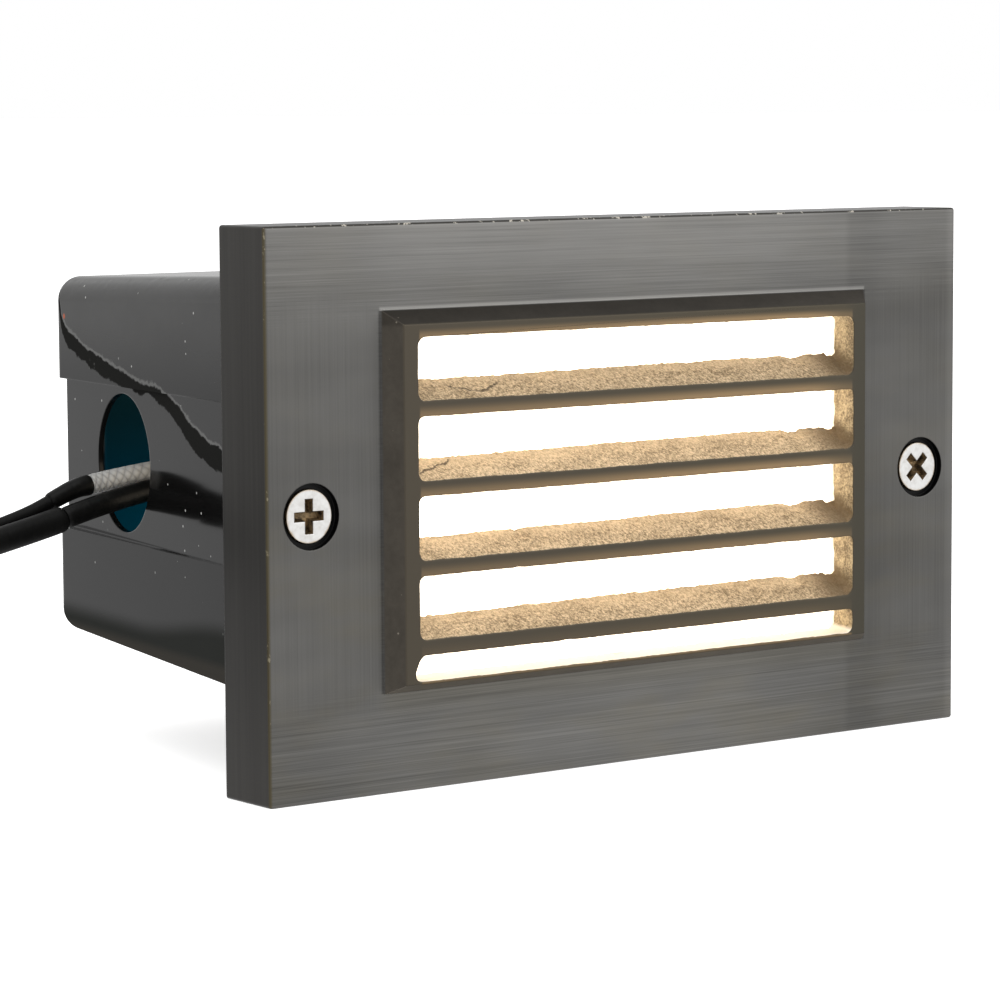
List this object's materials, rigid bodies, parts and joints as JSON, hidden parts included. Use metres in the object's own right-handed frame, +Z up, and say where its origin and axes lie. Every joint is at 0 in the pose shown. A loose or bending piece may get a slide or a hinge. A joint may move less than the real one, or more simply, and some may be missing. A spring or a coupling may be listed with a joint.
{
  "type": "step light",
  "caption": "Recessed step light: rectangular faceplate with sloping louvres over a lit lens, tapered back box with a cable hole, leads and a coiled supply cable.",
  "frame": {"origin": "middle of the faceplate on the wall plane, where the faceplate's rim seats", "axes": "+X to the right seen from the front, +Y into the wall, +Z up; the light shines towards -Y"},
  "size_m": [0.2644, 0.0882, 0.086],
  "materials": {
    "aged_brass": "antique bronze patina, brushed, worn bright on a few edges",
    "frosted_glass": "frosted, lit from behind",
    "seal_silicone": "plain",
    "foam_rubber": "closed-cell foam",
    "zinc_steel": "zinc plated",
    "spring_steel": "plain",
    "insert_brass": "plain",
    "box_plastic": "glossy black",
    "ceramic": "unglazed steatite",
    "contact_brass": "plain",
    "pin_steel": "plain",
    "board": "white mask",
    "led": "phosphor",
    "lamp_clear": "clear",
    "white_braid": "braided fibreglass",
    "black_sleeve": "satin",
    "black_shrink": "heat-shrink",
    "cable_jacket": "satin",
    "tie_nylon": "nylon",
    "core_insulation": "plain",
    "bare_copper": "bare"
  },
  "bodies": {
    "housing": {"back_box": "box_plastic", "faceplate_gasket": "foam_rubber", "screw_inserts": "insert_brass", "lamp_bracket": "zinc_steel", "bracket_screws": "zinc_steel", "lamp_socket": "ceramic", "socket_screws": "zinc_steel", "socket_contacts": "contact_brass", "socket_lead_a": "white_braid", "socket_lead_b": "white_braid", "shrink_a": "black_shrink", "shrink_b": "black_shrink", "lead_a": "black_sleeve", "lead_b": "black_sleeve", "cable_boot": "black_shrink", "cable": "cable_jacket", "cable_coil": "cable_jacket", "coil_tie": "tie_nylon", "cable_cores": "core_insulation", "core_strands": "bare_copper"},
    "cover": {"faceplate": "aged_brass", "lens_seal": "seal_silicone", "lens": "frosted_glass", "lens_clips": "spring_steel", "lens_clip_screws": "zinc_steel"},
    "left_screw": {"cover_screw_left": "zinc_steel"},
    "right_screw": {"cover_screw_right": "zinc_steel"},
    "lamp": {"lamp_pins": "pin_steel", "lamp_base": "ceramic", "lamp_board": "board", "lamp_leds": "led", "lamp_cover": "lamp_clear"}
  },
  "joints": [
    {"name": "cover_slide", "type": "slide", "parent": "housing", "child": "cover", "axis": [0, -1, 0], "range_m": [0, 0.04]},
    {"name": "left_screw_turn", "type": "hinge", "parent": "cover", "child": "left_screw", "pos_m": [-0.0612, -0.0114, 0], "axis": [0, 1, 0], "continuous": true},
    {"name": "right_screw_turn", "type": "hinge", "parent": "cover", "child": "right_screw", "pos_m": [0.0612, -0.0114, 0], "axis": [0, 1, 0], "continuous": true},
    {"name": "lamp_slide", "type": "slide", "parent": "housing", "child": "lamp", "axis": [0, -1, 0], "range_m": [0, 0.01]}
  ]
}
